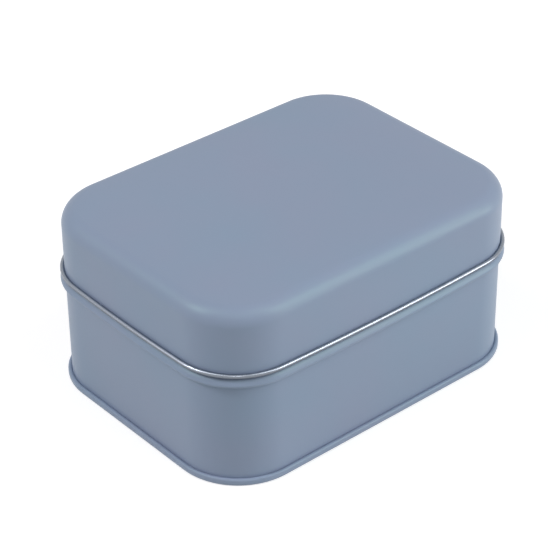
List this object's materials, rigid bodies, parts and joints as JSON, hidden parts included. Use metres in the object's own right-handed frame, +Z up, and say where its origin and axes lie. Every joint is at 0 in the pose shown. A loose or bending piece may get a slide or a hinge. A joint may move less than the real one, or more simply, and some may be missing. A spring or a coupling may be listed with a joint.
{
  "type": "marshmallow tin",
  "caption": "Closed rectangular metal tin with rounded corners; a slip lid with a rolled rim rests on the body's stop bead, and a seamed base stands flat.",
  "frame": {"origin": "on the ground under the middle of the tin", "axes": "+X along the tin's length, +Y along its width, +Z up through the lid"},
  "size_m": [0.1154, 0.089, 0.0566],
  "materials": {
    "blue_paint": "satin grey-blue enamel with a faint pearl shimmer",
    "bare_tinplate": "bare tinplate of the lid's rolled rim, bright on top and duller underneath"
  },
  "bodies": {
    "root": {"lid": "blue_paint", "body": "blue_paint", "base": "blue_paint"}
  },
  "joints": []
}
